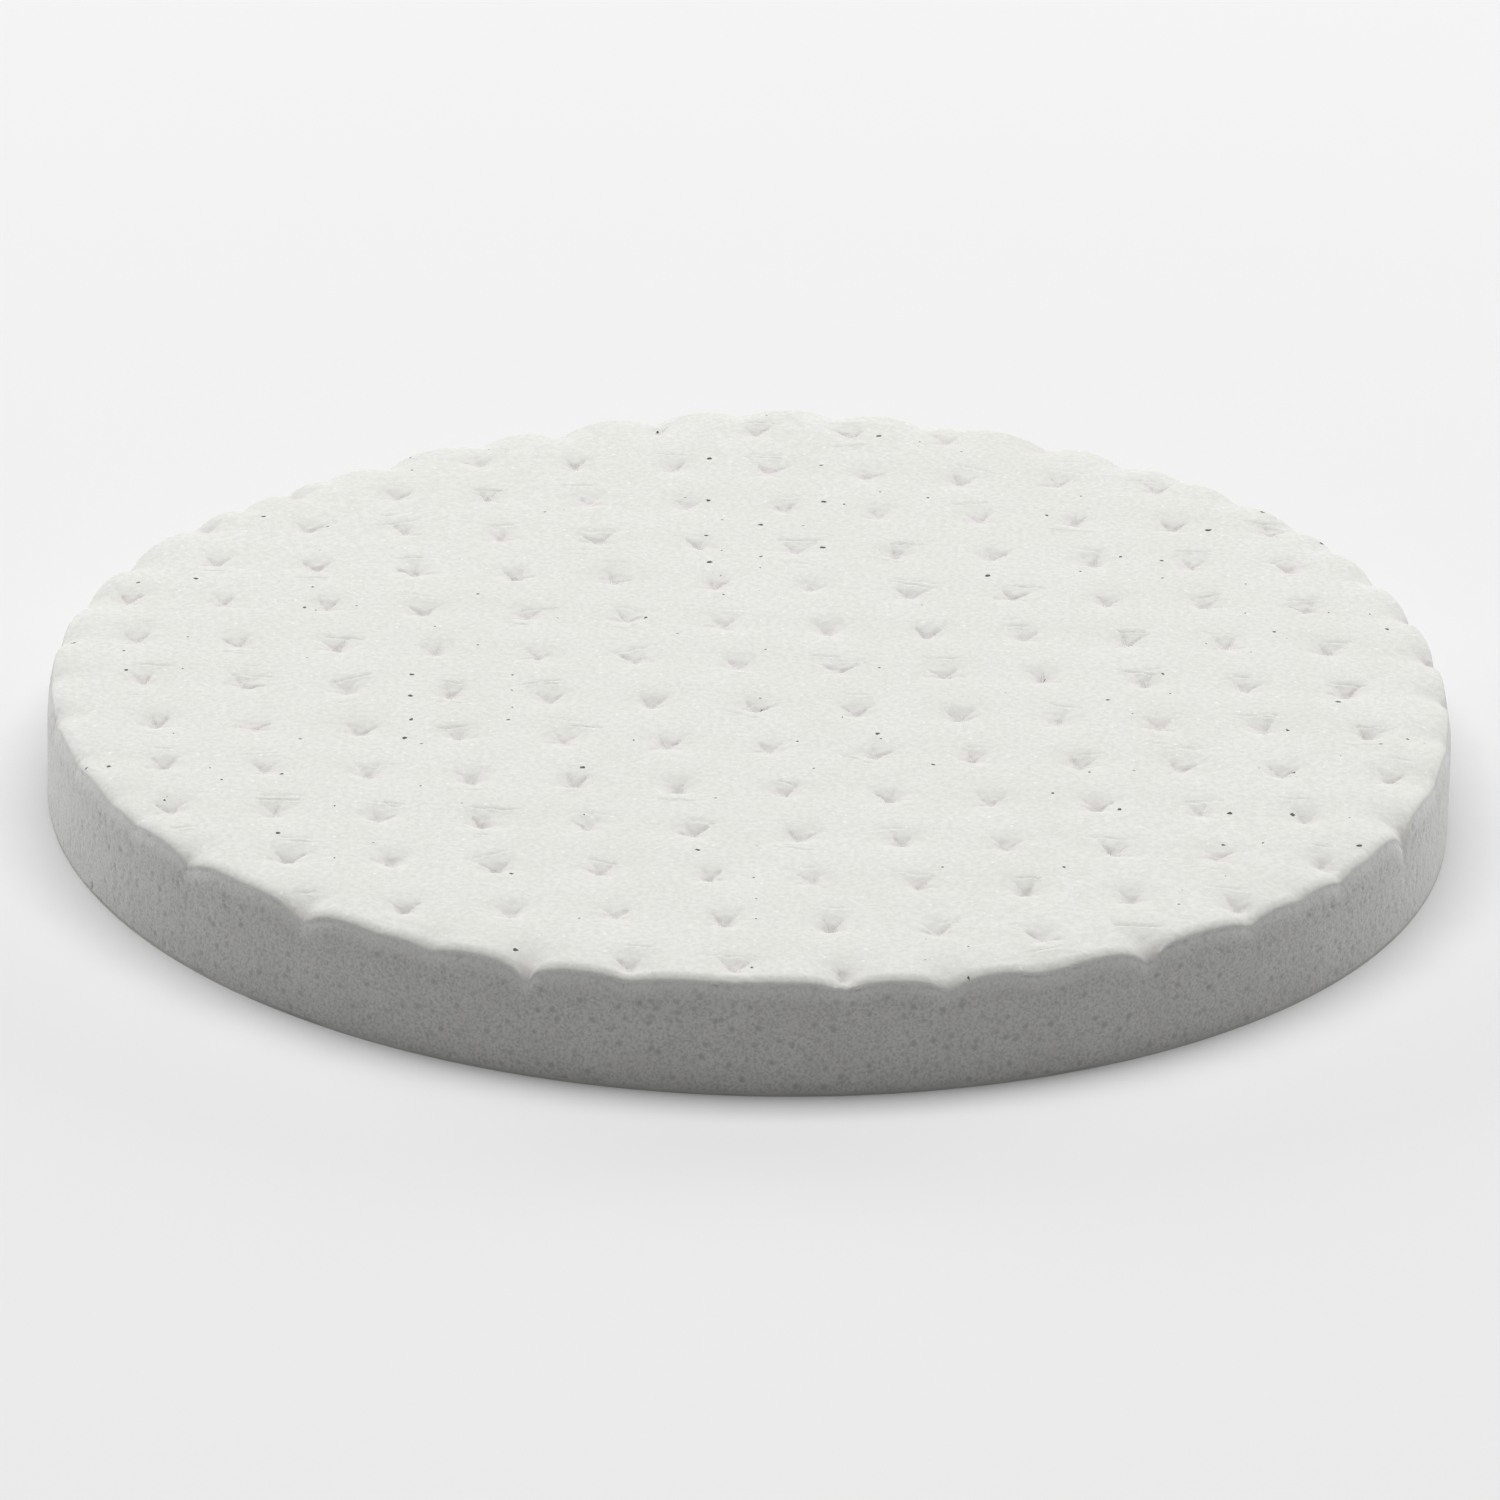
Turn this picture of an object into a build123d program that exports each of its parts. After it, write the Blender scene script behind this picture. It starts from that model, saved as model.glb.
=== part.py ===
from build123d import *
import math
import os

# A round polishing pad for stones. A thin skin, embossed with rows of small square pits, covers a
# disc of fine foam, and the foam's back is coated with adhesive under a peel-off paper liner.
# +Z is up, and the origin is the middle of the face that the pad lies on.

# Driving dimensions, in millimetres and degrees
DIAMETER = 76.2
LINER_THICKNESS = 0.10
FILM_THICKNESS = 0.10
CORE_THICKNESS = 6.05
FACING_THICKNESS = 0.35
PIT_PITCH = 5.43  # from pit to pit along a row, and from row to row
ROW_SHIFT = PIT_PITCH / 5  # each row stands this much further along than the row behind it
ROW_TURN = -2.84  # the rows' turn away from the X axis
MIDDLE_PIT = (-1.07, 1.69)  # the pit that is nearest to the pad's axis
PIT_WIDTH = 2.6  # the square mouth of a pit, whose sides follow the rows
PIT_THROAT_WIDTH = 1.1  # where the shallow slopes of the mouth turn into steep walls
PIT_THROAT_DEPTH = 0.35
PIT_TIP_WIDTH = 0.25  # the blunt bottom of a pit
PIT_DEPTH = 0.95

# Worked out from the driving dimensions
RADIUS = DIAMETER / 2
FILM_BOTTOM = LINER_THICKNESS
CORE_BOTTOM = FILM_BOTTOM + FILM_THICKNESS
CORE_TOP = CORE_BOTTOM + CORE_THICKNESS
PAD_TOP = CORE_TOP + FACING_THICKNESS
ROWS_EACH_WAY = math.ceil(RADIUS / PIT_PITCH) + 2


def slope(width, narrower_width, height):
    """The slope of the walls of a square hole that narrows over a height, in degrees."""
    return math.degrees(math.atan2((width - narrower_width) / 2, height))


def pit_places(level):
    """Where the pits go at a level: each pit on the pad, and those whose throat its edge cuts."""
    turn = math.radians(ROW_TURN)
    steps = range(-ROWS_EACH_WAY, ROWS_EACH_WAY + 1)
    places = []
    for row in steps:
        for column in steps:
            along = column * PIT_PITCH + row * ROW_SHIFT
            across = -row * PIT_PITCH
            x = MIDDLE_PIT[0] + along * math.cos(turn) - across * math.sin(turn)
            y = MIDDLE_PIT[1] + along * math.sin(turn) + across * math.cos(turn)
            if math.hypot(x, y) < RADIUS + PIT_THROAT_WIDTH / 2:
                places.append(Location((x, y, level), (0, 0, ROW_TURN)))
    return places


# The room that one pit takes out of a surface at z = 0: a shallow mouth, then a steep throat
with BuildPart() as pit:
    with BuildSketch(Plane.XY):
        Rectangle(PIT_WIDTH, PIT_WIDTH)
    extrude(
        amount=-PIT_THROAT_DEPTH,
        taper=slope(PIT_WIDTH, PIT_THROAT_WIDTH, PIT_THROAT_DEPTH),
    )
    with BuildSketch(Plane.XY.offset(-PIT_THROAT_DEPTH)):
        Rectangle(PIT_THROAT_WIDTH, PIT_THROAT_WIDTH)
    extrude(
        amount=-(PIT_DEPTH - PIT_THROAT_DEPTH),
        taper=slope(PIT_THROAT_WIDTH, PIT_TIP_WIDTH, PIT_DEPTH - PIT_THROAT_DEPTH),
    )


# Paper liner: a plain disc that peels off before use
with BuildPart() as release_liner:
    with BuildSketch(Plane.XY):
        Circle(RADIUS)
    extrude(amount=LINER_THICKNESS)

# Adhesive film: covers the whole back of the foam
with BuildPart() as adhesive_film:
    with BuildSketch(Plane.XY.offset(FILM_BOTTOM)):
        Circle(RADIUS)
    extrude(amount=FILM_THICKNESS)

# Foam core: its top is pressed into the same pits as the skin that covers it
with BuildPart() as foam_core:
    with BuildSketch(Plane.XY.offset(CORE_BOTTOM)):
        Circle(RADIUS)
    extrude(amount=CORE_THICKNESS)
    with Locations(*pit_places(CORE_TOP)):
        add(pit.part, mode=Mode.SUBTRACT)

# Embossed facing: a skin of even height that lines every pit and ends flush with the foam's edge
with BuildPart() as embossed_facing:
    with BuildSketch(Plane.XY.offset(CORE_TOP)):
        Circle(RADIUS)
    extrude(amount=FACING_THICKNESS)
    with Locations(*pit_places(CORE_TOP)):
        add(pit.part)
    with Locations(*pit_places(PAD_TOP)):
        add(pit.part, mode=Mode.SUBTRACT)
    with Locations((0, 0, CORE_BOTTOM)):
        Cylinder(
            RADIUS,
            PAD_TOP - CORE_BOTTOM,
            align=(Align.CENTER, Align.CENTER, Align.MIN),
            mode=Mode.INTERSECT,
        )


os.makedirs("parts", exist_ok=True)
pieces = {
    "release_liner": release_liner,
    "adhesive_film": adhesive_film,
    "foam_core": foam_core,
    "embossed_facing": embossed_facing,
}
for name, piece in pieces.items():
    piece.part.label = name
    export_step(piece.part, f"parts/{name}.step")
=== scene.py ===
import math

import bpy
import numpy as np
from mathutils import Matrix, Vector, geometry, noise


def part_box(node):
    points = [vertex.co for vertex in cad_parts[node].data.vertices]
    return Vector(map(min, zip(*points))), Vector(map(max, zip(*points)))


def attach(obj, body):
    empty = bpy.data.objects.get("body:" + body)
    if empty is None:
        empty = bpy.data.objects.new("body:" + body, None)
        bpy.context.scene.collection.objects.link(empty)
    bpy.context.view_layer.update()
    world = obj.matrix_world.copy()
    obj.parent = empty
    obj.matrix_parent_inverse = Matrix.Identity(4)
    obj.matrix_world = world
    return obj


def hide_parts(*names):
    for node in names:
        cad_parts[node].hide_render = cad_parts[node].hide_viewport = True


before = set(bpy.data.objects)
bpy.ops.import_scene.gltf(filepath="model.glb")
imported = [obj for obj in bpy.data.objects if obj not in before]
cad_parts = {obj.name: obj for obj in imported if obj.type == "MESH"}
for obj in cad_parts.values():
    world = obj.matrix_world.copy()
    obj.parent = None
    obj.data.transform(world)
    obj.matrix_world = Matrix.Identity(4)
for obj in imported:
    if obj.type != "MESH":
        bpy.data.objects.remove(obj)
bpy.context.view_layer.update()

# A foam polishing pad: a pit-embossed skin over a foam disc, an adhesive coat and a paper liner.
# Shapes are worked out in millimetres and scaled to metres when a mesh is made.
MM = 0.001

# Levels and size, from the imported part
LINER_LOW, LINER_HIGH = (corner.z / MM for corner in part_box("release_liner"))
FILM_LOW, FILM_HIGH = (corner.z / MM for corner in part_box("adhesive_film"))
CORE_LOW, CORE_HIGH = (corner.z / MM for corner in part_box("foam_core"))
PAD_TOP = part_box("embossed_facing")[1].z / MM
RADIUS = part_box("foam_core")[1].x / MM
SKIN = PAD_TOP - CORE_HIGH  # the facing's thickness

# The rows of pits, in millimetres and degrees
PITCH = 5.43
ROW_SHIFT = PITCH / 5
ROW_TURN = -2.84
MIDDLE_PIT = (-1.07, 1.69)
BEYOND = 3.0  # how far outside the pad a pit can lie and still pull at its edge

# A pit: a shallow square mouth, and a pinch in front of its middle
MOUTH_HALF_WIDTH = 1.25
MOUTH_DEPTH = 0.13
MOUTH_SOFTNESS = 0.02  # how softly a mouth's edge rounds into the flat skin
PINCH_DEPTH = 0.36
PINCH_REACH = 0.32  # the distance over which a pinch fades to about a third
PINCH_BLUNT = 0.10  # rounds the very bottom of a pinch
PINCH_FORWARD = 0.3  # how far a pinch lies in front of its mouth's middle
CREASES = ((51, 1.4), (129, 1.4), (217, 0.6), (323, 0.6))  # to the mouth's corners, and how strong
CREASE_DEPTH = 0.10
CREASE_WIDTH = 0.09
CREASE_REACH = 0.48
SAG_DEPTH = 0.06  # the slack of the skin round each pit
SAG_REACH = 2.2
RIM_PULL = 0.50  # how much deeper the skin is drawn at pits that the edge cuts or nearly cuts
RIM_PULL_BESIDE = 1.3  # how far along the edge that pull fades to about a third
RIM_PULL_INWARD = 1.4  # and how far inwards
RIM_PULL_FADE = 3.2  # how far from the edge a pit can still draw it down
UNEVEN_PULL = ((268, 11, -0.95), (195, 20, -0.6), (90, 70, 0.35))  # a direction, spread and change
CRUMPLE_DEPTH = 0.09  # the crumpling of the skin in and round a pit
CRUMPLE_REACH = 1.0
CRUMPLE_WIDTH = 0.36  # the size of a crumple
LIGHTER_BACK = 0.3  # how much shallower the pits are at the back edge than at the middle
PIT_RANGE = 6.0  # beyond this a pit has no effect

# The unevenness of the whole skin: waves, as their depth and width, and a fine roughness
SLOW_WAVES = (0.035, 9.0)
QUICK_WAVES = (0.015, 1.8)
ROUGHNESS_DEPTH = 0.008

# The hairline folds beside the mouths
FOLD_DEPTH = 0.06
FOLD_WIDTH = 0.07
FOLD_RIDGE = 0.35  # the height of the ridge beside a fold, as a share of the fold's depth
FOLD_WAVES = 5.5  # radians of a fold's waviness for each mm along it
FOLD_BEND = 0.05  # how far a fold's ends bend forwards, at 1 mm from its middle
FOLD_ENDS = 3  # how steeply a fold fades out at its ends, in shares of its depth for each mm
FOLD_STEP = 0.15
FOLD_ROWS = (-0.28, -0.17, -0.07, 0.0, 0.08)  # where the mesh has rows of points across a fold

# The cut edge
RIM_ROUND = 0.28  # how far the skin's face falls as it rounds over at the cut
RIM_ROUND_WIDTH = 0.36
RIM_DROOP = 0.05  # how far the skin sags towards the cut
RIM_DROOP_REACH = 0.9
SHOULDER = 0.22  # how far the foam's side leans in at the top
SHOULDER_REACH = 0.45
RIM_STEPS = 1680  # points round the rim
CUT_INSIDE = ((4, 28, 1.05), (127, 29, 1.20))  # a direction, its spread, and how far in the cut ran
UNEVEN = ((125, 30, 0.28), (87, 15, -0.35), (315, 28, 0.20))  # as above, but how much thinner

# How finely the meshes are divided
TOP_SPACING = 0.46
TOP_RINGS = (0.07, 0.15, 0.24, 0.34, 0.45, 0.57, 0.70, 0.84, 1.00, 1.20, 1.45)
TOP_RING_SPACING = 0.12  # from point to point at a pit's middle, and as much more for each mm out
CREASE_STEPS = (0.15, 1.1, 0.14)  # where the points along a crease begin and end, and their step
EXTRA_INSIDE = 1.0  # the points along folds and creases stay this far inside the edge
UNDER_SPACING = 0.90
UNDER_RINGS = (0.25, 0.60, 1.20)
UNDER_RING_SPACING = 0.30
RIM_RINGS = (0.08, 0.22, 0.42, 0.68, 1.0, 1.5)  # rings inside the rim, in rounding widths
UNDER_RIM_RINGS = (0.3,)
BACK_SPACING = 3.0
BACK_RINGS = (1.5,)
BACK_RING_SPACING = 4.0
SIDE_ROWS = 40
SHARP_ANGLE = 50  # degrees; an edge with a sharper turn than this isn't shaded smooth

# The foam's cells at the cut side
PORE_SPACING = 0.62
PORE_RADIUS = (0.10, 0.18)
PORE_DEPTH = (0.02, 0.07)
CELL_SPACING = 0.80  # from one dark cell to the next
GRAIN_DEPTH = 0.03

SEED = 7
random = np.random.default_rng(SEED)


# ---------------------------------------------------------------- the pad's outline


def bulge(angle, direction, spread, most):
    """A smooth hump over angles in radians, centred on a direction in degrees."""
    apart = np.angle(np.exp(1j * (angle - math.radians(direction))))
    return most * np.exp(-((apart / math.radians(spread)) ** 2))


def outline_radius(angle):
    """The top edge's radius at each angle: a circle, but for where the cut ran inside it."""
    return RADIUS - SHOULDER - sum(bulge(angle, *inside) for inside in CUT_INSIDE)


def inside_edge(points):
    """How far plan points lie inside the pad's outline."""
    angle = np.arctan2(points[:, 1], points[:, 0])
    return outline_radius(angle) - np.hypot(points[:, 0], points[:, 1])


def rim_ring(inset, count, phase=0.0):
    """Points along the outline, a given distance inside it."""
    angle = phase + np.arange(count) * 2 * math.pi / count
    radius = outline_radius(angle) - inset
    return np.stack([radius * np.cos(angle), radius * np.sin(angle)], axis=1)


# ---------------------------------------------------------------- the embossed surface


def pit_rows():
    """The middles of the pits' mouths, out to those whose pull still reaches the pad."""
    turn = math.radians(ROW_TURN)
    reach = math.ceil(RADIUS / PITCH) + 3
    centres = []
    for row in range(-reach, reach + 1):
        for column in range(-reach, reach + 1):
            along = column * PITCH + row * ROW_SHIFT
            across = -row * PITCH
            x = MIDDLE_PIT[0] + along * math.cos(turn) - across * math.sin(turn)
            y = MIDDLE_PIT[1] + along * math.sin(turn) + across * math.cos(turn)
            if math.hypot(x, y) < RADIUS + BEYOND:
                centres.append((x, y))
    return centres


def random_fold(half_width):
    """One hairline fold, mostly behind its pit: its place, length, slant, waves and depth."""
    side = 1 if random.random() < 0.75 else -1
    return {
        "across": side * half_width * random.uniform(0.85, 1.75),
        "along": random.normal(0, 0.35),
        "length": random.uniform(1.3, 2.8),
        "slant": random.normal(0, 0.12),
        "wave": random.uniform(0.02, 0.06),
        "phase": random.uniform(0, 2 * math.pi),
        "depth": FOLD_DEPTH * random.uniform(0.4, 1.2),
    }


def random_pit(centre):
    """One pit with its own width, depth, turn, creases and folds, as the embossing left it."""
    directions, strengths = np.transpose(CREASES)
    half_width = MOUTH_HALF_WIDTH * random.uniform(0.82, 1.2)
    from_edge = (RADIUS - math.hypot(*centre)) / RIM_PULL_FADE
    direction = math.atan2(centre[1], centre[0])
    pull = RIM_PULL * (1 + sum(bulge(direction, *change) for change in UNEVEN_PULL))
    strength = 1 - LIGHTER_BACK * centre[1] / RADIUS
    return {
        "centre": np.array(centre) - (0, PINCH_FORWARD) + random.normal(0, 0.08, 2),
        "turn": math.radians(ROW_TURN + random.normal(0, 9)),
        "half_width": half_width,
        "mouth_depth": MOUTH_DEPTH * strength * random.uniform(0.6, 1.3),
        "pinch_depth": PINCH_DEPTH * strength * random.uniform(0.4, 1.3),
        "pinch_reach": PINCH_REACH * random.uniform(0.8, 1.3),
        "rim_pull": pull * math.exp(-(from_edge**4)) * random.uniform(0.75, 1.15),
        "crease_at": np.radians(directions) + random.normal(0, 0.22, 4),
        "crease_depth": CREASE_DEPTH * strengths * random.uniform(0.2, 1.3, 4),
        "folds": [random_fold(half_width) for _ in range(random.choice((0, 1, 1, 2)))],
    }


PITS = [random_pit(centre) for centre in pit_rows()]


def turned(points, angle):
    """Plan points turned about the origin."""
    cos, sin = math.cos(angle), math.sin(angle)
    return points @ np.array([[cos, sin], [-sin, cos]])


def fold_line(fold, along):
    """How far across the rows a fold runs, at each place along it."""
    middle = along - fold["along"]
    wave = fold["wave"] * np.sin(FOLD_WAVES * middle + fold["phase"])
    return fold["across"] + fold["slant"] * middle + wave - FOLD_BEND * middle**2


def fold_depth(fold, local):
    """A fold's hairline groove, with a low ridge on its near side."""
    middle = local[:, 0] - fold["along"]
    aside = local[:, 1] - fold_line(fold, local[:, 0])
    ends = np.clip((fold["length"] / 2 - np.abs(middle)) * FOLD_ENDS, 0, 1)
    groove = np.exp(-((aside / FOLD_WIDTH) ** 2))
    ridge = np.exp(-(((aside + 2.5 * FOLD_WIDTH) / (1.5 * FOLD_WIDTH)) ** 2))
    return fold["depth"] * ends * (groove - FOLD_RIDGE * ridge)


def crease_depth(local, direction, deepest):
    """The groove of one crease that runs out from a pit's middle."""
    out = local @ np.array([math.cos(direction), math.sin(direction)])
    beside = local @ np.array([-math.sin(direction), math.cos(direction)])
    out = np.clip(out, 0, None) / CREASE_REACH
    return deepest * out * np.exp(1 - out) * np.exp(-((beside / CREASE_WIDTH) ** 2))


def pit_depth(pit, local):
    """How deep one pit pulls the skin down, at plan points from its pinch and along its sides."""
    distance = np.hypot(local[:, 0], local[:, 1])
    to_side = (np.abs(local - (0, PINCH_FORWARD)) ** 3).sum(axis=1) ** (1 / 3)
    inside = 1 - to_side / pit["half_width"]
    mouth = 0.5 * (inside + np.sqrt(inside**2 + MOUTH_SOFTNESS))
    pinch = np.exp(-(np.hypot(distance, PINCH_BLUNT) - PINCH_BLUNT) / pit["pinch_reach"])
    depth = pit["mouth_depth"] * np.clip(mouth, 0.0, None) + pit["pinch_depth"] * pinch
    depth += SAG_DEPTH * np.exp(-((distance / SAG_REACH) ** 2))
    for at, deepest in zip(pit["crease_at"], pit["crease_depth"]):
        depth += crease_depth(local, at, deepest)
    for fold in pit["folds"]:
        depth += fold_depth(fold, local)
    return depth


def strip_depth(pit, offset, inside):
    """How far a pit that lies close to the cut edge draws the skin down there."""
    outward = pit["centre"] / np.hypot(*pit["centre"])
    beside = np.abs(offset @ np.array([-outward[1], outward[0]])) / RIM_PULL_BESIDE
    inside = np.clip(inside, 0, None) / RIM_PULL_INWARD
    return pit["rim_pull"] * np.exp(-(beside**1.3) - inside**1.4)


def rough(points, scale, octaves, shift):
    """Smooth noise of about -1 to 1 at plan points. A shift picks another part of the noise."""
    return np.array(
        [
            noise.fractal(Vector((x / scale, y / scale, shift)), 0.9, 2.1, octaves)
            for x, y in points
        ]
    )


def crumpling(points):
    """How near plan points are to a pit's pinch: 1 at the pinch, fading to nothing round it."""
    crumple = np.zeros(len(points))
    for pit in PITS:
        distance = np.hypot(*(points - pit["centre"]).T)
        crumple += np.exp(-((distance / CRUMPLE_REACH) ** 2))
    return crumple


def skin_depth(points):
    """How far the skin's face lies below the pad's top at plan points, in millimetres."""
    depth = np.zeros(len(points))
    inside = inside_edge(points)
    for pit in PITS:
        offset = points - pit["centre"]
        distance = np.hypot(offset[:, 0], offset[:, 1])
        near = distance < PIT_RANGE
        depth[near] += pit_depth(pit, turned(offset[near], -pit["turn"]))
        depth[near] += strip_depth(pit, offset[near], inside[near])
    angle = np.arctan2(points[:, 1], points[:, 0])
    thinner = sum(bulge(angle, *uneven) for uneven in UNEVEN)
    depth += thinner * (np.hypot(points[:, 0], points[:, 1]) / RADIUS) ** 4
    for (height, width), shift in ((SLOW_WAVES, 3.1), (QUICK_WAVES, 5.2)):
        depth += height * rough(points, width, 2, shift)
    crumple = ROUGHNESS_DEPTH + CRUMPLE_DEPTH * crumpling(points)
    return depth + crumple * rough(points, CRUMPLE_WIDTH, 3, 8.4)


def rim_rounding(points):
    """How far the skin's face has rounded over at plan points: 0 inside the edge, 1 at the cut."""
    return np.clip(1 - inside_edge(points) / RIM_ROUND_WIDTH, 0, 1) ** 2


def rim_fall(points):
    """How far the skin's face falls away as it droops and rounds over at the cut edge."""
    inside = np.clip(inside_edge(points), 0, None)
    return RIM_ROUND * rim_rounding(points) + RIM_DROOP * np.exp(-inside / RIM_DROOP_REACH)


# ---------------------------------------------------------------- plan points and triangles


def ring(centre, radius, count, phase=0.0):
    """Evenly spaced points on a circle."""
    angle = phase + np.arange(count) * 2 * math.pi / count
    return np.stack([np.cos(angle), np.sin(angle)], axis=1) * radius + centre


def field_points(spacing):
    """Plan points in even, staggered rows that cover the pad."""
    columns = math.ceil(RADIUS / spacing) + 2
    rows = math.ceil(1.2 * columns)
    column, row = np.meshgrid(np.arange(-columns, columns), np.arange(-rows, rows))
    staggered = np.stack([(column + row % 2 / 2) * spacing, row * spacing * 0.866], axis=-1)
    return staggered.reshape(-1, 2)


def disc_points(spacing, pit_rings, ring_spacing, rim_insets):
    """Plan points over the pad: its outline first, then finer rings along it and round the pits."""
    rim = [rim_ring(0, RIM_STEPS)]
    for number, inset in enumerate(rim_insets):
        rim.append(rim_ring(inset, RIM_STEPS // (1 + number // 2), phase=number * 0.002))
    field = field_points(spacing)
    round_pits = []
    for pit in PITS:
        apart = np.hypot(*(field - pit["centre"]).T)
        field = field[apart > pit_rings[-1] + 0.5 * spacing]
        round_pits.append(pit["centre"][None, :])
        for number, radius in enumerate(pit_rings):
            count = max(6, round(2 * math.pi * radius / (ring_spacing * (1 + radius))))
            round_pits.append(ring(pit["centre"], radius, count, phase=number))
    inner = np.concatenate([field, *round_pits])
    inner = inner[inside_edge(inner) > rim_insets[-1] + 0.5 * min(spacing, 0.5)]
    return np.concatenate([*rim, inner])


def fold_points():
    """Extra plan points in rows along each fold, for its groove and its ridge."""
    points = []
    for pit in PITS:
        for fold in pit["folds"]:
            half = fold["length"] / 2
            along = fold["along"] + np.arange(-half, half, FOLD_STEP)
            for aside in FOLD_ROWS:
                line = np.stack([along, fold_line(fold, along) + aside], axis=1)
                points.append(turned(line, pit["turn"]) + pit["centre"])
    points = np.concatenate(points)
    return points[inside_edge(points) > EXTRA_INSIDE]


def crease_points():
    """Extra plan points in rows along each crease."""
    points = []
    out = np.arange(*CREASE_STEPS)
    for pit in PITS:
        for at in pit["crease_at"]:
            for aside in (-CREASE_WIDTH, 0, CREASE_WIDTH):
                line = np.stack([out, np.full(len(out), aside)], axis=1)
                points.append(turned(line, at + pit["turn"]) + pit["centre"])
    points = np.concatenate(points)
    return points[inside_edge(points) > EXTRA_INSIDE]


def triangulate(points):
    """Triangles inside the outline over the plan points, as point numbers, all facing up."""
    outline = [(number, (number + 1) % RIM_STEPS) for number in range(RIM_STEPS)]
    found = geometry.delaunay_2d_cdt([Vector(p) for p in points], outline, [], 1, 1e-6)
    source = np.array([ids[0] for ids in found[3]])
    triangles = source[np.array(found[2])]
    a, b, c = (points[triangles[:, i]] for i in range(3))
    turn = (b[:, 0] - a[:, 0]) * (c[:, 1] - a[:, 1]) - (b[:, 1] - a[:, 1]) * (c[:, 0] - a[:, 0])
    triangles[turn < 0] = triangles[turn < 0][:, ::-1]
    return triangles[np.abs(turn) > 1e-9]


def band(upper, lower, count):
    """Quads that join two closed rows of points, numbered from upper and from lower."""
    here = np.arange(count)
    there = (here + 1) % count
    return np.stack([upper + here, lower + here, lower + there, upper + there], axis=1)


def make_piece(name, vertices, faces, material):
    """A mesh object from millimetre points and lists of faces, smooth except at sharp corners."""
    mesh = bpy.data.meshes.new(name)
    mesh.from_pydata((vertices * MM).tolist(), [], [f for part in faces for f in part.tolist()])
    mesh.validate()
    mesh.polygons.foreach_set("use_smooth", [True] * len(mesh.polygons))
    mesh.set_sharp_from_angle(angle=math.radians(SHARP_ANGLE))
    mesh.materials.append(material)
    piece = bpy.data.objects.new(name, mesh)
    bpy.context.scene.collection.objects.link(piece)
    return piece


def mark_points(piece, name, values):
    """A number at each point of a piece, for its material to read."""
    attribute = piece.data.attributes.new(name, "FLOAT", "POINT")
    attribute.data.foreach_set("value", np.asarray(values, dtype=np.float32))


# ---------------------------------------------------------------- materials


def add_node(tree, kind, inputs=None, **settings):
    """A shader node with its settings, and each input set to a value or linked to a socket."""
    made = tree.nodes.new(kind)
    for name, value in settings.items():
        setattr(made, name, value)
    for name, value in (inputs or {}).items():
        if isinstance(value, bpy.types.NodeSocket):
            tree.links.new(value, made.inputs[name])
        else:
            made.inputs[name].default_value = value
    return made


def new_surface(name, roughness, specular, sheen=0.0):
    """A material with a Principled shader, and the object coordinates for its textures."""
    material = bpy.data.materials.new(name)
    material.use_nodes = True
    tree = material.node_tree
    tree.nodes.clear()
    shader = add_node(
        tree,
        "ShaderNodeBsdfPrincipled",
        {"Roughness": roughness, "Specular IOR Level": specular, "Sheen Weight": sheen},
    )
    output = add_node(tree, "ShaderNodeOutputMaterial")
    tree.links.new(shader.outputs["BSDF"], output.inputs["Surface"])
    place = add_node(tree, "ShaderNodeTexCoord").outputs["Object"]
    return material, tree, shader, place


def noise_value(tree, place, size, detail=3.0, roughness=0.55):
    """Noise with features of the given size in millimetres, about 0.5 on average."""
    texture = add_node(
        tree,
        "ShaderNodeTexNoise",
        {"Vector": place, "Scale": 1 / (size * MM), "Detail": detail, "Roughness": roughness},
    )
    return texture.outputs["Fac"]


def remap(tree, value, low, high, to_low, to_high):
    """Value taken from one range to another, and held at its ends."""
    made = add_node(
        tree,
        "ShaderNodeMapRange",
        {"Value": value, "From Min": low, "From Max": high, "To Min": to_low, "To Max": to_high},
    )
    return made.outputs["Result"]


def calculate(tree, operation, first, second):
    """One sum, product or comparison of two values."""
    made = add_node(tree, "ShaderNodeMath", operation=operation)
    for socket, value in zip(made.inputs, (first, second)):
        if isinstance(value, bpy.types.NodeSocket):
            tree.links.new(value, socket)
        else:
            socket.default_value = value
    return made.outputs["Value"]


def mix_colours(tree, share, first, second):
    """Two colours mixed by a share from 0 to 1."""
    made = add_node(tree, "ShaderNodeMix", data_type="RGBA")
    for number, value in ((0, share), (6, first), (7, second)):
        socket = made.inputs[number]
        if isinstance(value, bpy.types.NodeSocket):
            tree.links.new(value, socket)
        else:
            socket.default_value = value
    return made.outputs[2]


def specks(tree, place, spacing, size, share):
    """1 in small spots scattered over the plan and 0 elsewhere, in a share of the cells."""
    cells = add_node(
        tree,
        "ShaderNodeTexVoronoi",
        {"Vector": place, "Scale": 1 / (spacing * MM), "Randomness": 1.0},
        voronoi_dimensions="2D",
    )
    chance = add_node(tree, "ShaderNodeSeparateColor", {"Color": cells.outputs["Color"]})
    radius = remap(tree, chance.outputs["Green"], 0, 1, 0.4 * size / spacing, size / spacing)
    spot = calculate(tree, "LESS_THAN", cells.outputs["Distance"], radius)
    chosen = calculate(tree, "LESS_THAN", chance.outputs["Red"], share)
    return calculate(tree, "MULTIPLY", spot, chosen)


def ragged_place(tree, place, size):
    """The place moved about by noise of a size in millimetres, to make round spots ragged."""
    noise_texture = add_node(
        tree, "ShaderNodeTexNoise", {"Vector": place, "Scale": 1 / (size * MM), "Detail": 1.0}
    )
    drift = add_node(
        tree,
        "ShaderNodeVectorMath",
        {0: noise_texture.outputs["Color"], "Scale": size * MM},
        operation="SCALE",
    )
    moved = add_node(
        tree, "ShaderNodeVectorMath", {0: place, 1: drift.outputs["Vector"]}, operation="ADD"
    )
    return moved.outputs["Vector"]


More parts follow.
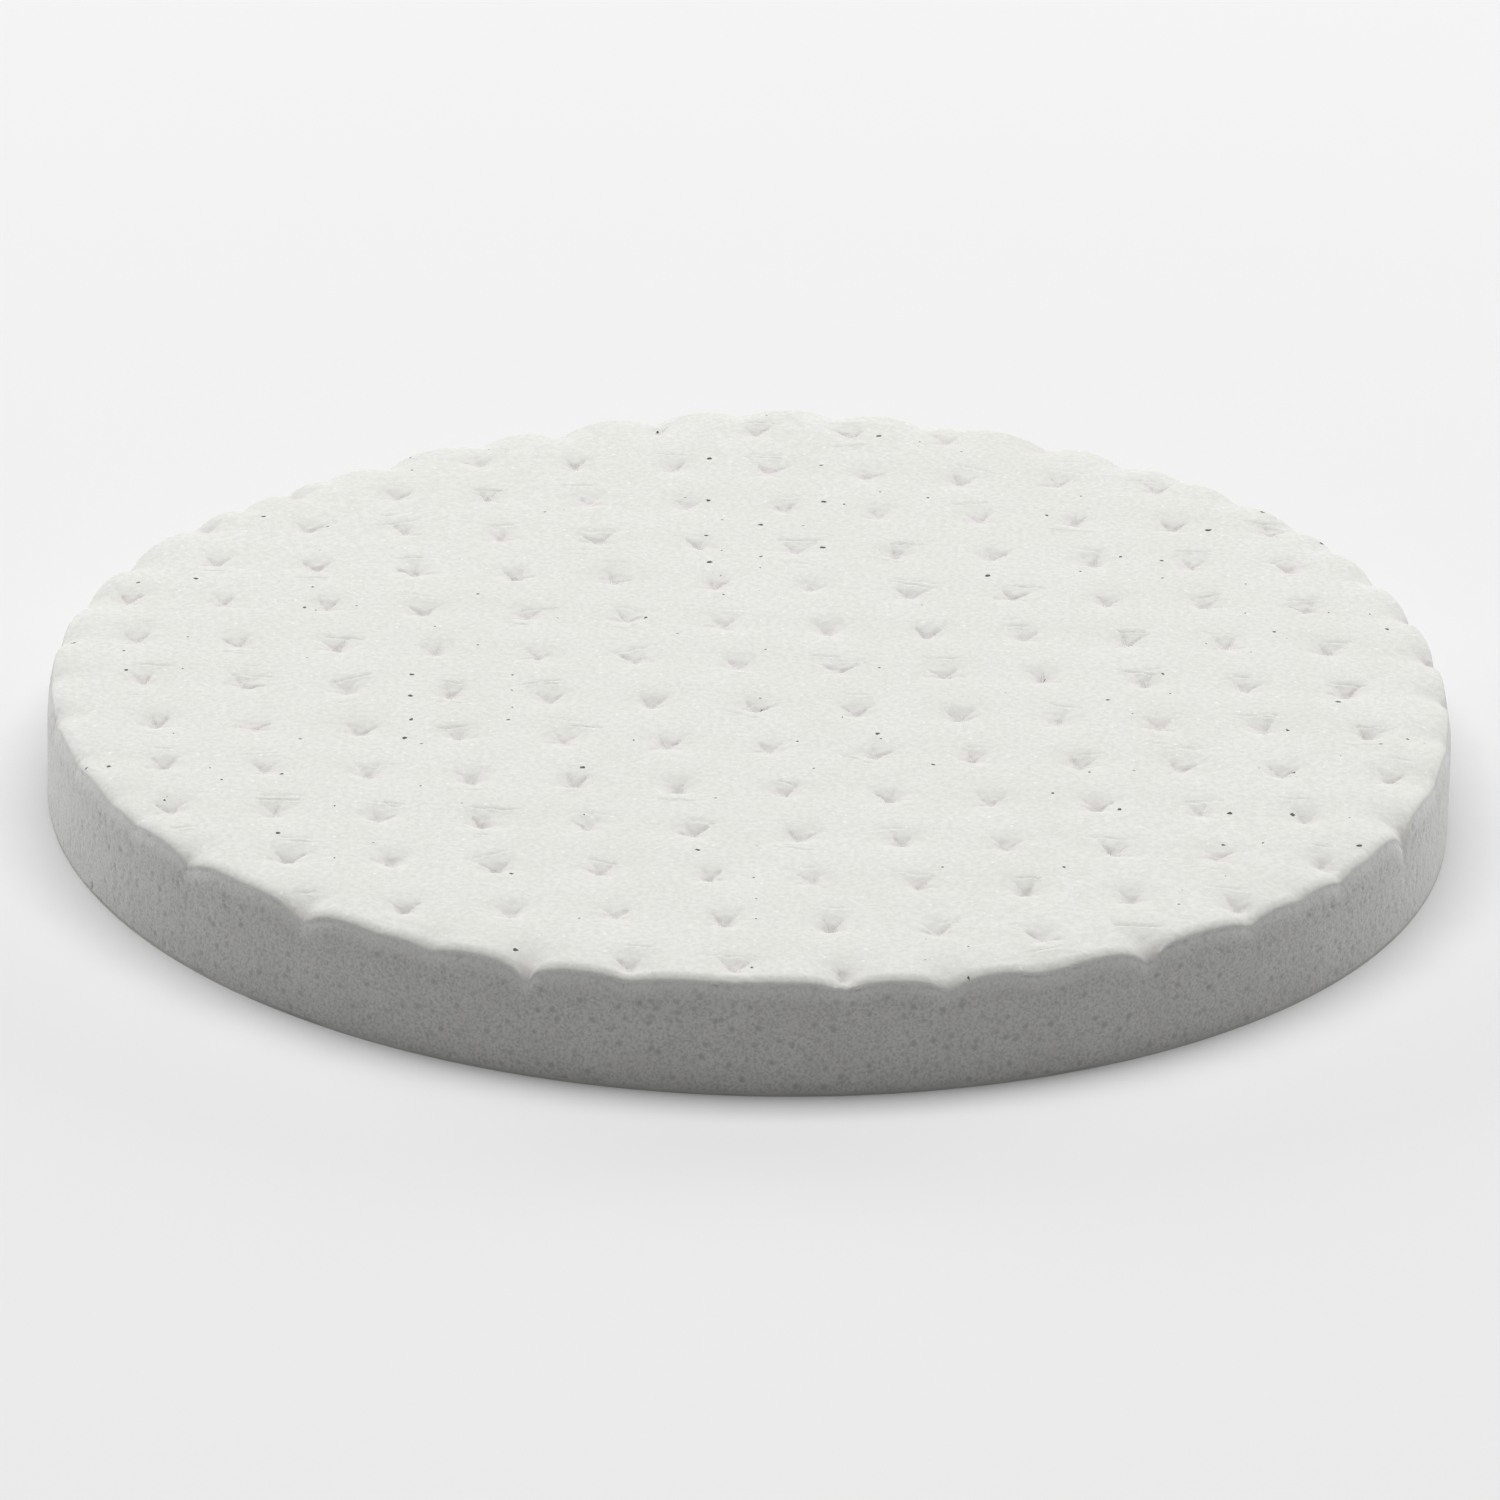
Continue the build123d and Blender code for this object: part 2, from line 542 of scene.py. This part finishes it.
def point_value(tree, name):
    """The number that mark_points gave to each point under this name."""
    return add_node(tree, "ShaderNodeAttribute", attribute_name=name).outputs["Fac"]


def bump(tree, height, distance, strength, normal=None):
    """A normal that follows a height from 0 to 1, for a relief of that many millimetres."""
    inputs = {"Height": height, "Distance": distance * MM, "Strength": strength}
    if normal is not None:
        inputs["Normal"] = normal
    return add_node(tree, "ShaderNodeBump", inputs).outputs["Normal"]


# Colours, as linear red, green, blue and opacity
SKIN_WHITE = (0.818, 0.822, 0.785, 1)
SKIN_LIGHTER = (0.834, 0.838, 0.802, 1)
SKIN_DARKER = (0.805, 0.812, 0.769, 1)
SKIN_MOTTLE = (0.64, 0.64, 0.60, 1)
# Painted shade: a darker, warmer tint for the skin in and round each pit
SKIN_PIT_SHADE = (0.785, 0.770, 0.745, 1)
# Painted glints: small bright spots scattered over the skin
PAINTED_GLINT = (0.90, 0.90, 0.89, 1)
DUST = (0.11, 0.105, 0.10, 1)
FOAM_LIGHTER = (0.604, 0.598, 0.587, 1)
FOAM_DARKER = (0.567, 0.560, 0.550, 1)
# Painted shade for the foam's fine pores and open cells
FOAM_PORE_SHADE = (0.36, 0.36, 0.35, 1)
# The adhesive and liner colours are darkened to a light grey: painted shade along the pad's foot
BACKING_SHADED_LIGHTER = (0.60, 0.595, 0.57, 1)
BACKING_SHADED_DARKER = (0.54, 0.535, 0.505, 1)
PAPER_FIBRE = (0.44, 0.43, 0.40, 1)
FLOOR_LIGHTER = (0.85, 0.85, 0.85, 1)
FLOOR_DARKER = (0.83, 0.83, 0.83, 1)


def facing_material():
    """The embossed skin: matte white, finely mottled and fibrous, with painted glints, painted
    shade in its pits and a little dust.
    """
    material, tree, shader, place = new_surface("facing_skin", 0.72, 0.3)
    clouds = noise_value(tree, place, 4.0, 3.0)
    mottle = noise_value(tree, place, 0.30, 3.0, 0.6)
    grain = noise_value(tree, place, 0.12, 2.0)
    colour = mix_colours(tree, remap(tree, clouds, 0.3, 0.7, 0, 1), SKIN_DARKER, SKIN_LIGHTER)
    colour = mix_colours(tree, remap(tree, mottle, 0.38, 0.62, 0.38, 0), colour, SKIN_MOTTLE)
    # Painted glints: small bright spots scattered over the skin's face
    colour = mix_colours(tree, specks(tree, place, 1.1, 0.10, 0.32), colour, PAINTED_GLINT)
    # Painted shade in and round each pit, strongest at the pinch
    in_pit = point_value(tree, "in_pit")
    colour = mix_colours(tree, remap(tree, in_pit, 0, 1, 0, 1), colour, SKIN_PIT_SHADE)
    cut_edge = point_value(tree, "cut_edge")
    colour = mix_colours(tree, remap(tree, cut_edge, 0.5, 1.0, 0, 0.5), colour, FOAM_LIGHTER)
    ragged = ragged_place(tree, place, 0.25)
    colour = mix_colours(tree, specks(tree, ragged, 3.1, 0.15, 0.17), colour, DUST)
    colour = mix_colours(tree, specks(tree, ragged, 2.2, 0.08, 0.12), colour, DUST)
    tree.links.new(colour, shader.inputs["Base Color"])
    tree.links.new(remap(tree, mottle, 0.3, 0.7, 0.62, 0.82), shader.inputs["Roughness"])
    relief = bump(tree, mottle, 0.05, 0.75)
    relief = bump(tree, grain, 0.02, 0.6, relief)
    tree.links.new(relief, shader.inputs["Normal"])
    return material


def foam_material():
    """The cut foam: matte, fine-grained and downy, with painted shade in its fine pores and where
    larger cells are open, and a painted glow just under the skin.
    """
    material, tree, shader, place = new_surface("foam", 0.9, 0.15, sheen=0.7)
    clouds = noise_value(tree, place, 2.4, 3.0)
    grain = noise_value(tree, place, 0.15, 2.0, 0.6)
    cells = add_node(
        tree,
        "ShaderNodeTexVoronoi",
        {"Vector": place, "Scale": 1 / (CELL_SPACING * MM), "Randomness": 1.0},
    ).outputs["Distance"]
    below_skin = point_value(tree, "below_skin")
    colour = mix_colours(tree, remap(tree, clouds, 0.3, 0.7, 0, 1), FOAM_DARKER, FOAM_LIGHTER)
    # Painted shade in the fine pores and in the open cells
    colour = mix_colours(tree, remap(tree, grain, 0.32, 0.58, 0.75, 0), colour, FOAM_PORE_SHADE)
    colour = mix_colours(tree, remap(tree, cells, 0.10, 0.28, 0.80, 0), colour, FOAM_PORE_SHADE)
    # Painted light: the side is lightened towards the skin's white over its top 0.9 mm, for light
    # that passes through the foam under the skin
    colour = mix_colours(tree, remap(tree, below_skin, 0.0, 0.9, 0.45, 0), colour, SKIN_WHITE)
    tree.links.new(colour, shader.inputs["Base Color"])
    relief = bump(tree, grain, 0.05, 0.35)
    relief = bump(tree, noise_value(tree, place, 0.08, 2.0), 0.02, 0.3, relief)
    tree.links.new(relief, shader.inputs["Normal"])
    return material


def film_material():
    """The adhesive coat: milky, darkened with painted shade along the pad's foot, a little glossy,
    with a faint orange peel.
    """
    material, tree, shader, place = new_surface("adhesive", 0.35, 0.5)
    clouds = noise_value(tree, place, 1.6, 3.0)
    colour = mix_colours(tree, remap(tree, clouds, 0.3, 0.7, 0, 1), BACKING_SHADED_DARKER, BACKING_SHADED_LIGHTER)
    tree.links.new(colour, shader.inputs["Base Color"])
    tree.links.new(remap(tree, clouds, 0.3, 0.7, 0.28, 0.45), shader.inputs["Roughness"])
    tree.links.new(bump(tree, clouds, 0.03, 0.5), shader.inputs["Normal"])
    return material


def liner_material():
    """The release paper: off-white darkened with painted shade along the pad's foot, finely
    fibrous, with the sheen of its coating.
    """
    material, tree, shader, place = new_surface("liner_paper", 0.42, 0.45)
    clouds = noise_value(tree, place, 3.0, 4.0)
    fibres = noise_value(tree, place, 0.25, 4.0, 0.65)
    colour = mix_colours(tree, remap(tree, clouds, 0.3, 0.7, 0, 1), BACKING_SHADED_DARKER, BACKING_SHADED_LIGHTER)
    colour = mix_colours(tree, remap(tree, fibres, 0.35, 0.6, 0.3, 0), colour, PAPER_FIBRE)
    tree.links.new(colour, shader.inputs["Base Color"])
    tree.links.new(remap(tree, fibres, 0.3, 0.7, 0.36, 0.5), shader.inputs["Roughness"])
    tree.links.new(bump(tree, fibres, 0.02, 0.5), shader.inputs["Normal"])
    return material


# ---------------------------------------------------------------- the pieces


def make_facing():
    """The embossed skin, as one closed shell: its face, its cut edge and its underside."""
    edge_insets = [RIM_ROUND_WIDTH * share for share in RIM_RINGS]
    face = disc_points(TOP_SPACING, TOP_RINGS, TOP_RING_SPACING, edge_insets)
    face = np.concatenate([face, fold_points(), crease_points()])
    under = disc_points(UNDER_SPACING, UNDER_RINGS, UNDER_RING_SPACING, UNDER_RIM_RINGS)
    face_z = PAD_TOP - skin_depth(face) - rim_fall(face)
    under_z = PAD_TOP - SKIN - skin_depth(under)
    vertices = np.concatenate(
        [np.column_stack([face, face_z]), np.column_stack([under, under_z])]
    )
    faces = [
        triangulate(face),
        band(0, len(face), RIM_STEPS),
        triangulate(under)[:, ::-1] + len(face),
    ]
    piece = make_piece("facing_skin", vertices, faces, facing_material())
    mark_points(piece, "cut_edge", rim_rounding(vertices[:, :2]))
    mark_points(piece, "in_pit", crumpling(vertices[:, :2]))
    return piece


def foam_cells():
    """How far the cut side of the foam lies inside the pad's outline, on its grid of points."""
    inset = random.uniform(0, GRAIN_DEPTH, (SIDE_ROWS + 1, RIM_STEPS))
    around = 2 * math.pi * RADIUS / RIM_STEPS
    upward = (CORE_HIGH - CORE_LOW) / SIDE_ROWS
    count = int(2 * math.pi * RADIUS * (CORE_HIGH - CORE_LOW) / PORE_SPACING**2)
    rows = np.arange(SIDE_ROWS + 1)
    for _ in range(count):
        radius = random.uniform(*PORE_RADIUS)
        depth = random.uniform(*PORE_DEPTH)
        at_column = random.uniform(0, RIM_STEPS)
        at_row = random.uniform(0, SIDE_ROWS)
        reach = math.ceil(radius / around) + 1
        columns = np.arange(int(at_column) - reach, int(at_column) + reach + 2)
        sideways = (columns - at_column) * around
        upwards = (rows - at_row) * upward
        apart = np.hypot(sideways[None, :], upwards[:, None]) / radius
        window = np.ix_(rows, columns % RIM_STEPS)
        inset[window] += depth * np.clip(1 - apart**2, 0, None)
    return inset


def make_core():
    """The foam disc as one closed shell: its pitted top, its porous cut side and its flat back."""
    top = disc_points(UNDER_SPACING, UNDER_RINGS, UNDER_RING_SPACING, UNDER_RIM_RINGS)
    top_z = CORE_HIGH - skin_depth(top)
    share = np.linspace(1, 0, SIDE_ROWS + 1)[1:, None]
    side_z = CORE_LOW + (top_z[None, :RIM_STEPS] - CORE_LOW) * share
    lean = SHOULDER * (1 - np.exp(-(side_z[0] - side_z) / SHOULDER_REACH))
    inset = foam_cells()[1:] - lean
    inset[-1] = -SHOULDER  # the lowest row is a clean edge that meets the film
    side_plan = top[None, :RIM_STEPS] * (1 - inset / RADIUS)[:, :, None]
    side = np.concatenate([side_plan, side_z[:, :, None]], axis=-1).reshape(-1, 3)
    back = disc_points(BACK_SPACING, BACK_RINGS, BACK_RING_SPACING, (0.5, 1.5))[RIM_STEPS:]
    back_start = len(top) + len(side) - RIM_STEPS
    vertices = np.concatenate(
        [
            np.column_stack([top, top_z]),
            side,
            np.column_stack([back, np.full(len(back), CORE_LOW)]),
        ]
    )
    faces = [triangulate(top), band(0, len(top), RIM_STEPS)]
    for row in range(SIDE_ROWS - 1):
        start = len(top) + row * RIM_STEPS
        faces.append(band(start, start + RIM_STEPS, RIM_STEPS))
    faces.append(triangulate(vertices[back_start:, :2])[:, ::-1] + back_start)
    piece = make_piece("foam_disc", vertices, faces, foam_material())
    # How far each side point lies below the skin, for the painted light along the top of the foam's
    # side
    below_skin = np.zeros(len(vertices))
    below_skin[len(top) : len(top) + len(side)] = (side_z[0] - side_z).ravel()
    mark_points(piece, "below_skin", below_skin)
    return piece


def make_disc(name, low, high, wander, material):
    """A thin round layer between two levels, whose cut edge wanders a little in and out."""
    outline = rim_ring(-SHOULDER, RIM_STEPS)
    unevenness = 0.5 + 0.5 * rough(outline, 0.12 * RADIUS, 3, low)
    outline *= (1 - wander * unevenness / RADIUS)[:, None]
    inside = disc_points(BACK_SPACING, BACK_RINGS, BACK_RING_SPACING, (0.8, 1.8))[RIM_STEPS:]
    plan = np.concatenate([outline, inside])
    vertices = np.concatenate(
        [
            np.column_stack([plan, np.full(len(plan), high)]),
            np.column_stack([plan, np.full(len(plan), low)]),
        ]
    )
    triangles = triangulate(plan)
    faces = [triangles, band(0, len(plan), RIM_STEPS), triangles[:, ::-1] + len(plan)]
    return make_piece(name, vertices, faces, material)


# ---------------------------------------------------------------- camera, light and floor

CAMERA_HEIGHT = 24.02  # degrees above the horizon
CAMERA_ROLL = -1.38
CAMERA_LENS = 250.6
CAMERA_AWAY = 14.75  # from the middle of the pad's back, in pad radii
CAMERA_ABOVE = 0.0516  # how far the view's middle passes above and left of that, in pad radii
CAMERA_LEFT = 0.0106

# Lights: a name, a place and a size in metres, and a power in watts
LIGHTS = (
    ("main_light", (-0.02, 0.28, 1.46), (2.0, 0.9), 23.0),
    ("left_light", (-0.54, 0.50, 0.20), (0.4, 0.3), 1.56),
    ("right_light", (0.54, 0.50, 0.20), (0.4, 0.3), 1.50),
)
WORLD_STRENGTH = 0.125
FLOOR_WIDTH = 8


def make_camera():
    """The camera of a long lens, looking down on the pad from the front."""
    height = math.radians(CAMERA_HEIGHT)
    forward = Vector((0, math.cos(height), -math.sin(height)))
    right = Vector((1, 0, 0))
    up = right.cross(forward)
    unit = RADIUS * MM
    data = bpy.data.cameras.new("camera")
    data.lens = CAMERA_LENS
    data.clip_start = 0.01
    data.clip_end = 50
    camera = bpy.data.objects.new("camera", data)
    camera.location = unit * (-forward * CAMERA_AWAY + up * CAMERA_ABOVE - right * CAMERA_LEFT)
    axes = Matrix((right, up, -forward)).transposed()
    roll = Matrix.Rotation(math.radians(-CAMERA_ROLL), 3, "Z")
    camera.rotation_euler = (axes @ roll).to_euler()
    bpy.context.scene.collection.objects.link(camera)
    bpy.context.scene.camera = camera


def add_softbox(name, place, size, power):
    """A rectangular light that faces the pad."""
    data = bpy.data.lights.new(name, "AREA")
    data.shape = "RECTANGLE"
    data.size, data.size_y = size
    data.energy = power
    light = bpy.data.objects.new(name, data)
    light.location = place
    light.rotation_euler = (-Vector(place)).to_track_quat("-Z", "Y").to_euler()
    bpy.context.scene.collection.objects.link(light)


def make_studio():
    """A pale floor under a wide soft light, with a low light on each side behind the pad."""
    bpy.ops.mesh.primitive_plane_add(size=FLOOR_WIDTH)
    floor = bpy.context.object
    floor.name = "floor"
    material, tree, shader, position = new_surface("floor", 0.8, 0.2)
    clouds = noise_value(tree, position, 400, 2.0)
    colour = mix_colours(tree, clouds, FLOOR_DARKER, FLOOR_LIGHTER)
    tree.links.new(colour, shader.inputs["Base Color"])
    floor.data.materials.append(material)
    for name, place, size, power in LIGHTS:
        add_softbox(name, place, size, power)
    world = bpy.data.worlds.new("studio")
    world.use_nodes = True
    background = world.node_tree.nodes["Background"]
    background.inputs["Color"].default_value = (1, 1, 1, 1)
    background.inputs["Strength"].default_value = WORLD_STRENGTH
    bpy.context.scene.world = world
    bpy.context.scene.view_settings.view_transform = "Standard"


make_camera()
make_studio()

facing = make_facing()
core = make_core()
film = make_disc("adhesive_coat", FILM_LOW, FILM_HIGH, 0.05, film_material())
liner = make_disc("liner_paper", LINER_LOW, LINER_HIGH, 0.03, liner_material())

for piece, node, body, slot in (
    (facing, "embossed_facing", "pad", "facing_skin"),
    (core, "foam_core", "pad", "foam"),
    (film, "adhesive_film", "pad", "adhesive"),
    (liner, "release_liner", "liner", "liner_paper"),
):
    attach(piece, body)
    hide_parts(node)
